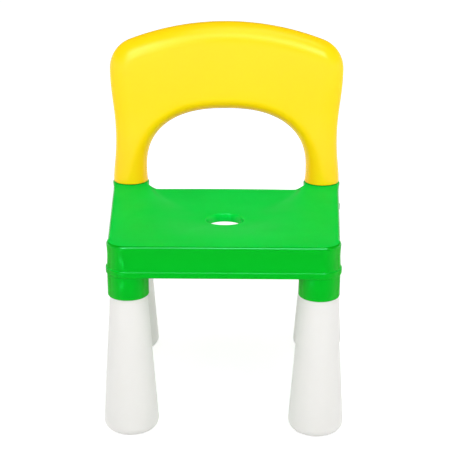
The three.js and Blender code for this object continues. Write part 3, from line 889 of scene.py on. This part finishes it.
def add_ribs(surface, sizes):
    """Two long and two cross ribs, from wall to wall."""
    into_wall = sizes.skirt_hollow + sizes.wall / 2
    front = front_face(sizes) + into_wall
    rear = rear_wall(sizes) - into_wall
    for side in (-1, 1):
        x = side * sizes.rib_pitch / 2
        add_rib(surface, sizes, Vector((x, front)), Vector((x, rear)))
        y = panel_middle(sizes) + side * sizes.rib_pitch / 2
        reach = half_width(sizes, y) - sizes.side_inset - into_wall
        add_rib(surface, sizes, Vector((-reach, y)), Vector((reach, y)))


# Upward part of the surface's normal, over which faces count as level, stop counting as
# walls, and start counting as the top.
LEVEL_FROM = (0.9, 0.97)
WALL_UP_TO = (0.15, 0.45)
TOP_FROM = (0.7, 0.88)


def level_faces(tree):
    """Mask of the level faces of the seat."""
    return range_node(tree, axes_of(tree, "Normal")["Z"], LEVEL_FROM)


def rounded_edges(tree):
    """Mask of the roundings between the seat's upright and level faces."""
    up = axes_of(tree, "Normal")["Z"]
    above_walls = range_node(tree, up, WALL_UP_TO)
    below_top = range_node(tree, up, TOP_FROM, (1.0, 0.0))
    return math_node(tree, "MULTIPLY", above_walls, below_top)


class CHAIR_OT_make_seat(bpy.types.Operator):
    """Build the seat moulding in place of its solid"""

    bl_idname = "chair.make_seat"
    bl_label = "Make seat"

    def execute(self, context):
        scene = context.scene
        sizes, backrest, legs = scene.chair_seat, scene.chair_backrest, scene.chair_legs
        peg = sizes.corner_radius - backrest.post_ledge - backrest.peg_shoulder
        surface = Surface()
        add_panel(surface, sizes, peg, backrest.post_ledge)
        add_columns(surface, sizes, legs, peg)
        add_ribs(surface, sizes)

        def painted_shade_places(tree):
            """Mask of painted shade: all but the level faces and the hole's lip take the darker
            deep colour, so that the level top and the lip look lit.
            """
            place = axes_of(tree, "Object")
            hole_y = panel_middle(sizes) - sizes.hole_forward
            forward = math_node(tree, "SUBTRACT", place["Y"], hole_y)
            square = math_node(tree, "MULTIPLY", forward, forward)
            squares = math_node(tree, "MULTIPLY_ADD", place["X"], place["X"], square)
            away = math_node(tree, "SQRT", squares)
            lip, fade = sizes.hole_radius + sizes.hole_lip_wall, 5 * MM
            outside_lip = range_node(tree, away, (lip, lip + fade))
            upright = math_node(tree, "SUBTRACT", 1.0, level_faces(tree))
            return math_node(tree, "MULTIPLY", upright, outside_lip)

        material = plastic(
            "seat_green_plastic",
            scene.chair_colours.seat,
            SEAT_FINISH,
            grained=level_faces,
            shade_painting=painted_shade_places,
            polished=rounded_edges,
        )
        seat = surface.to_object("seat_moulding")
        place_piece(seat, "seat", material)
        return {"FINISHED"}


# ------------------------------------------------------------------ backrest


def back_lean(sizes, height):
    """How far the backrest's middle lies behind its posts at a height."""
    rise = np.maximum(0, height - SEAT_TOP)
    return sizes.bend_radius - np.sqrt(sizes.bend_radius**2 - rise**2)


def bezier(a, b, c, d, steps=200):
    """Points of a cubic curve."""
    t = np.linspace(0, 1, steps + 1)[:, None]
    a, b, c, d = (np.array(point, float) for point in (a, b, c, d))
    return a * (1 - t) ** 3 + b * 3 * t * (1 - t) ** 2 + c * 3 * t * t * (1 - t) + d * t**3


def outer_edge(sizes, post, sections):
    """Outer edge of the backrest on the +X side, from the post's foot to the top centre."""
    foot = REAR_AXIS.x + post
    waist_x, waist_z = foot - sizes.waist_inset, SEAT_TOP + sizes.waist_rise
    widest = foot + sizes.shoulder_outset
    crown = BACK_TOP - sizes.crown_radius
    shoulder_x = widest - sizes.shoulder_radius
    reach = sizes.crown_radius - sizes.shoulder_radius
    shoulder_z = crown + math.sqrt(reach**2 - shoulder_x**2)
    turn = math.atan2(shoulder_z - crown, shoulder_x)
    out_of_foot, into_waist = 0.3 * sizes.waist_rise, 0.5 * sizes.waist_rise
    pull = 0.38 * (shoulder_z - waist_z)
    low = bezier(
        (foot, ARCH_FOOT),
        (foot, ARCH_FOOT + out_of_foot),
        (waist_x, waist_z - into_waist),
        (waist_x, waist_z),
    )
    high = bezier(
        (waist_x, waist_z),
        (waist_x, waist_z + pull),
        (widest, shoulder_z - pull),
        (widest, shoulder_z),
    )
    shoulder_steps, top_steps = 199, 299
    shoulder = bend((shoulder_x, shoulder_z), sizes.shoulder_radius, 0, turn, shoulder_steps)
    top = bend((0, crown), sizes.crown_radius, turn, QUARTER, top_steps)
    line = np.vstack([low, high[1:], shoulder[1:], top[1:]])
    line[-1, 0] = 0
    return spaced(line, sections)


def inner_edge(sizes, post, sections):
    """Edge of the arch opening on the +X side, from the post's foot to the top centre."""
    centre = SEAT_TOP + sizes.opening_widest
    half_height = sizes.opening_rise - sizes.opening_widest
    power = 2 / sizes.opening_squareness
    start = -math.asin(((centre - ARCH_FOOT) / half_height) ** (1 / power))
    half = (REAR_AXIS.x - post) / math.cos(start) ** power
    curve_points = 800
    angles = np.linspace(start, QUARTER, curve_points)
    x = half * np.maximum(0, np.cos(angles)) ** power
    z = centre + half_height * np.sign(angles) * np.abs(np.sin(angles)) ** power
    x[-1] = 0
    return spaced(np.column_stack([x, z]), sections)


def moved_in(line, ways, inset):
    """An edge moved along the ways from it until it lies an inset away from where it was."""
    if not inset:
        return line
    depth = gap_to(line + ways * inset, line, closed=False)
    return line + ways * (inset**2 / depth)[:, None]


def arch_rings(sizes, post, sections, steps, inset=0.0):
    """Rings round the backrest from one post's foot over the top to the other's. The section
    is round at a foot and flatter above; inset moves the surface in by a wall's thickness."""
    outer = outer_edge(sizes, post, sections)
    inner = inner_edge(sizes, post, sections)
    ways = inner - outer
    ways /= np.linalg.norm(ways, axis=1)[:, None]
    outside, opening = moved_in(outer, ways, inset), moved_in(inner, -ways, inset)
    middle, half_chord = (outside + opening) / 2, (outside - opening) / 2
    angles = 2 * np.pi * np.arange(steps) / steps
    places = middle[:, None, :] + half_chord[:, None, :] * np.cos(angles)[None, :, None]
    flat = places.reshape(-1, 2)
    flattening = smooth_step((flat[:, 1] - ARCH_FOOT) / sizes.flattening_rise)
    full = mix(post, sizes.thickness / 2, flattening) - inset
    half = full
    for line, reach in ((outer, sizes.edge_radius), (inner, sizes.opening_radius)):
        edge = mix(post, reach, flattening) - inset
        short = 1 - np.clip((gap_to(flat, line, closed=False) - inset) / edge, 0, 1)
        half = np.minimum(half, full * np.sqrt(np.maximum(0, 1 - short**2)))
    side = np.sign(np.round(np.sin(angles), 9))
    y = REAR_AXIS.y + back_lean(sizes, flat[:, 1]) + np.tile(side, sections + 1) * half
    z = np.maximum(flat[:, 1], ARCH_FOOT + inset)
    rings = np.stack([flat[:, 0], y, z], axis=1).reshape(sections + 1, steps, 3)
    return list(rings), [ring * MIRROR for ring in reversed(rings[:-1])]


def arch_shell(sizes, post, sections, steps, foot_profile, clear_height, inset=0.0):
    """Rings of one skin of the backrest: up a foot, over the arch above the clear height, and
    down the other foot."""
    feet = turned_rings(foot_profile, REAR_AXIS, steps)
    right, left = arch_rings(sizes, post, sections, steps, inset)
    start = [k for k, ring in enumerate(right) if ring[:, 2].min() > clear_height][0]
    arch = right[start:] + left[: len(left) - start]
    return feet + arch + [ring * MIRROR for ring in reversed(feet)]


class CHAIR_OT_make_backrest(bpy.types.Operator):
    """Build the hollow arch backrest with its pegs in place of its solid"""

    bl_idname = "chair.make_backrest"
    bl_label = "Make backrest"

    def execute(self, context):
        scene = context.scene
        sizes, seat = scene.chair_backrest, scene.chair_seat
        wall, rounding = sizes.wall, sizes.post_edge_round
        post = seat.corner_radius - sizes.post_ledge
        peg = post - sizes.peg_shoulder
        bore = peg - wall
        foot = SEAT_TOP + sizes.post_gap
        steps, outside_sections, hollow_sections = 56, 110, 40
        nose = 1.0 * MM
        profile = bend((peg - nose, PEG_END + nose), nose, -QUARTER, 0, 4) + [(peg, foot)]
        profile += bend((post - rounding, foot + rounding), rounding, -QUARTER, 0, 5)
        clear = foot + 2 * rounding
        outside = arch_shell(sizes, post, outside_sections, steps, profile, clear)
        profile = [(bore, PEG_END), (bore, foot + wall), (post - wall, foot + 2 * wall)]
        clear = foot + 3 * wall
        hollow = arch_shell(sizes, post, hollow_sections, steps, profile, clear, inset=wall)
        surface = Surface()
        made = surface.stack(outside + hollow[::-1])
        surface.bridge(made[-1], made[0])

        def to_parting_face(tree):
            """Distance to the face halfway through the backrest, which leans back."""
            place = axes_of(tree, "Object")
            rise = math_node(tree, "SUBTRACT", place["Z"], SEAT_TOP)
            square = math_node(tree, "MULTIPLY", rise, rise)
            lean = math_node(tree, "DIVIDE", square, 2 * sizes.bend_radius)
            middle = math_node(tree, "ADD", lean, REAR_AXIS.y)
            return math_node(tree, "SUBTRACT", place["Y"], middle)

        def painted_shade_places(tree):
            """Mask of painted shade: a deeper orange on the posts' lower ends and on what faces
            down or into the opening, where shade falls.
            """
            post_share, side_share = 0.21, 0.5
            post_fade, turned_away = 90 * MM, (0.0, -0.9)
            place, facing = axes_of(tree, "Object"), axes_of(tree, "Normal")
            heights = (SEAT_TOP, SEAT_TOP + post_fade)
            low = range_node(tree, place["Z"], heights, (post_share, 0.0))
            under = range_node(tree, facing["Z"], turned_away)
            side = math_node(tree, "SIGN", place["X"])
            outward = math_node(tree, "MULTIPLY", side, facing["X"])
            inner = range_node(tree, outward, turned_away, (0.0, side_share))
            rounding = math_node(tree, "MAXIMUM", under, inner)
            return math_node(tree, "ADD", low, rounding, clamp=True)

        material = plastic(
            "backrest_yellow_plastic",
            scene.chair_colours.backrest,
            BACKREST_FINISH,
            parting=to_parting_face,
            shade_painting=painted_shade_places,
        )
        arch = surface.to_object("backrest_arch", ARCH_CRISP_ANGLE)
        place_piece(arch, "backrest", material)
        return {"FINISHED"}


# ------------------------------------------------------------------ legs


class CHAIR_OT_make_legs(bpy.types.Operator):
    """Build the four hollow tapered legs in place of their solids"""

    bl_idname = "chair.make_legs"
    bl_label = "Make legs"

    def execute(self, context):
        scene = context.scene
        seat, legs = scene.chair_seat, scene.chair_legs

        def radius(height):
            return leg_radius(seat, legs, height)

        def to_parting_face(tree):
            """Distance to the upright face through the leg's axis."""
            return axes_of(tree, "Object")["Y"]

        tilt = math.atan((legs.foot_radius - radius(COLLAR_MOUTH)) / COLLAR_MOUTH)
        rounding = legs.foot_round
        centre = radius(rounding) - rounding / math.cos(tilt)
        top, nose = radius(LEG_TOP), 0.6 * MM
        profile = [(TURN_CENTRE, 0)]
        profile += bend((centre, rounding), rounding, -QUARTER, tilt, 10)
        profile += [(radius(COLLAR_MOUTH * share), COLLAR_MOUTH * share) for share in (0.3, 0.6, 1)]
        profile += bend((top - nose, LEG_TOP - nose), nose, 0, QUARTER, 4)
        profile += [
            (top - legs.wall, LEG_TOP),
            (radius(rounding) - legs.wall, rounding),
            (centre, legs.sole),
            (TURN_CENTRE, legs.sole),
        ]
        colours = scene.chair_colours
        material = plastic("leg_white_plastic", colours.legs, LEG_FINISH, parting=to_parting_face)
        for node in LEG_NODES:
            surface = Surface()
            surface.turn(profile, (0, 0))
            leg = surface.to_object(f"{node}_turned")
            leg.location = (*leg_axis(node), 0)
            place_piece(leg, node, material)
        return {"FINISHED"}


# ------------------------------------------------------------------ studio


LAMP_AIM = (0, 0, 0.2)
# Of each lamp: its name, its power's setting, place, aim, size, and turn about its own axis.
SOFTBOXES = (
    ("overhead_softbox", "overhead_power", (0.3, -0.65, 2.1), LAMP_AIM, (1.3, 0.8), 0),
    ("key_softbox", "key_power", (0.0, -1.3, 1.5), LAMP_AIM, (2.0, 0.6), 0),
)
SHINE_CARDS = (
    ("left_card", "left_power", (-0.58, -1.3, 1.1), LAMP_AIM, (0.5, 0.8), 25),
    ("middle_card", "middle_power", (0.17, -1.3, 1.55), LAMP_AIM, (0.65, 0.45), 0),
    ("right_card", "right_power", (0.66, -1.3, 1.27), LAMP_AIM, (0.35, 0.45), 0),
    ("strip_card", "strip_power", (-0.375, -0.62, 0.02), (-0.375, -0.62, 1), (0.3, 0.03), 61.4),
)
# Upward part of the view, over which the light goes over to the zenith's and what is seen
# turns from white walls to the ceiling.
ZENITH_FADE = (0.0, 0.45)
CEILING_FADE = (0.14, 0.28)
FLOOR_HALF = 6.0
FLOOR_GREY = 0.7
FLOOR_ROUGHNESS = 0.9
SENSOR_WIDTH = 36
LENS = 94.25
LENS_SHIFT = 0.0011
CAMERA_PLACE = (0.0169, -1.31205, 0.6613)
CAMERA_HEADING = 0.74
CAMERA_DOWN = 19.19
CAMERA_ROLL = 0.1


def add_lamp(name, power, place, aim, size, turn, shine_only):
    """Rectangular area light turned about its own axis by degrees. One that is shine_only
    shows in reflections and lights nothing else."""
    data = bpy.data.lights.new(name, "AREA")
    data.shape = "RECTANGLE"
    data.size, data.size_y = size
    data.energy = power
    lamp = add_object(name, data)
    lamp.location = place
    lamp.visible_camera = False
    lamp.visible_diffuse = not shine_only
    facing = (Vector(aim) - Vector(place)).to_track_quat("-Z", "Y").to_matrix()
    lamp.rotation_euler = (facing @ Matrix.Rotation(math.radians(turn), 3, "Z")).to_euler()


def seen_directly(tree):
    """Light Path output that is 1 for camera, glossy and transmission rays."""
    path = add_node(tree, "LightPath").outputs
    seen = math_node(tree, "MAXIMUM", path["Is Camera Ray"], path["Is Glossy Ray"])
    return math_node(tree, "MAXIMUM", seen, path["Is Transmission Ray"])


def add_floor(glow_level):
    """Pale paper floor, whose glow lifts it to white where it is seen."""
    mesh = bpy.data.meshes.new("floor")
    corners = [(x * FLOOR_HALF, y * FLOOR_HALF, 0) for x, y in ((-1, -1), (1, -1), (1, 1), (-1, 1))]
    mesh.from_pydata(corners, [], [(0, 1, 2, 3)])
    floor = add_object("floor", mesh)
    paper, tree, shader = new_material("white_floor_paper")
    looks = {
        "Base Color": (FLOOR_GREY, FLOOR_GREY, FLOOR_GREY, 1),
        "Roughness": FLOOR_ROUGHNESS,
        "Specular IOR Level": 0.0,
        "Emission Color": (1, 1, 1, 1),
        "Emission Strength": math_node(tree, "MULTIPLY", seen_directly(tree), glow_level),
    }
    feed_all(tree, shader, looks)
    floor.data.materials.append(paper)


def make_world(settings):
    """World that lights from the horizon, and shows white walls under a dark ceiling in
    reflections and where it is seen."""
    world = bpy.data.worlds.new("studio")
    world.use_nodes = True
    tree = world.node_tree
    up = axes_of(tree, "Generated")["Z"]
    light = range_node(tree, up, ZENITH_FADE, (settings.horizon, settings.zenith))
    seen = range_node(tree, up, CEILING_FADE, (1.0, settings.ceiling))
    change = math_node(tree, "SUBTRACT", seen, light)
    total = math_node(tree, "MULTIPLY_ADD", seen_directly(tree), change, light)
    inputs = {"Color": (1, 1, 1, 1), "Strength": total}
    feed_all(tree, tree.nodes["Background"].inputs, inputs)
    return world


def add_camera():
    """Camera in front of the chair, looking a little down on it."""
    data = bpy.data.cameras.new("camera")
    data.sensor_width = SENSOR_WIDTH
    data.lens = LENS
    data.shift_y = LENS_SHIFT
    camera = add_object("camera", data)
    turns = ((CAMERA_HEADING, "Z"), (90 - CAMERA_DOWN, "X"), (CAMERA_ROLL, "Z"))
    matrix = Matrix.Translation(CAMERA_PLACE)
    for angle, axis in turns:
        matrix = matrix @ Matrix.Rotation(math.radians(angle), 4, axis)
    camera.matrix_world = matrix
    return camera


class CHAIR_OT_make_studio(bpy.types.Operator):
    """Build the pale floor, the soft light and the camera"""

    bl_idname = "chair.make_studio"
    bl_label = "Make studio"

    def execute(self, context):
        scene = context.scene
        settings = scene.chair_studio
        scene.view_settings.view_transform = "Standard"
        add_floor(settings.floor_glow)
        scene.world = make_world(settings)
        for rows, shine_only in ((SOFTBOXES, False), (SHINE_CARDS, True)):
            for name, power, *rest in rows:
                add_lamp(name, getattr(settings, power), *rest, shine_only)
        scene.camera = add_camera()
        return {"FINISHED"}


# ------------------------------------------------------------------ panel and registration


class CHAIR_PT_panel(bpy.types.Panel):
    """Sidebar panel that lists the chair's sizes, colours and pieces"""

    bl_label = "Child's plastic chair"
    bl_idname = "CHAIR_PT_panel"
    bl_space_type = "VIEW_3D"
    bl_region_type = "UI"
    bl_category = "Chair"

    def draw(self, context):
        scene = context.scene
        for title, settings, operator in (
            ("Seat", scene.chair_seat, "chair.make_seat"),
            ("Backrest", scene.chair_backrest, "chair.make_backrest"),
            ("Legs", scene.chair_legs, "chair.make_legs"),
            ("Colours", scene.chair_colours, None),
            ("Studio", scene.chair_studio, "chair.make_studio"),
        ):
            box = self.layout.box()
            box.label(text=title)
            for name in settings.bl_rna.properties.keys():
                if name not in ("rna_type", "name"):
                    box.prop(settings, name)
            if operator:
                box.operator(operator)


PROPERTY_GROUPS = {
    "chair_seat": SeatSizes,
    "chair_backrest": BackrestSizes,
    "chair_legs": LegSizes,
    "chair_colours": ChairColours,
    "chair_studio": StudioSettings,
}
OPERATORS = (
    CHAIR_OT_make_seat,
    CHAIR_OT_make_backrest,
    CHAIR_OT_make_legs,
    CHAIR_OT_make_studio,
)


def register():
    """Registers the property groups, operators and panel."""
    for name, group in PROPERTY_GROUPS.items():
        bpy.utils.register_class(group)
        setattr(bpy.types.Scene, name, PointerProperty(type=group))
    for item in (*OPERATORS, CHAIR_PT_panel):
        bpy.utils.register_class(item)


def unregister():
    """Takes everything back out."""
    for item in reversed((*OPERATORS, CHAIR_PT_panel)):
        bpy.utils.unregister_class(item)
    for name, group in PROPERTY_GROUPS.items():
        delattr(bpy.types.Scene, name)
        bpy.utils.unregister_class(group)


def main():
    """Builds the whole chair and its studio."""
    register()
    bpy.ops.chair.make_studio()
    bpy.ops.chair.make_seat()
    bpy.ops.chair.make_backrest()
    bpy.ops.chair.make_legs()


if __name__ == "__main__":
    main()
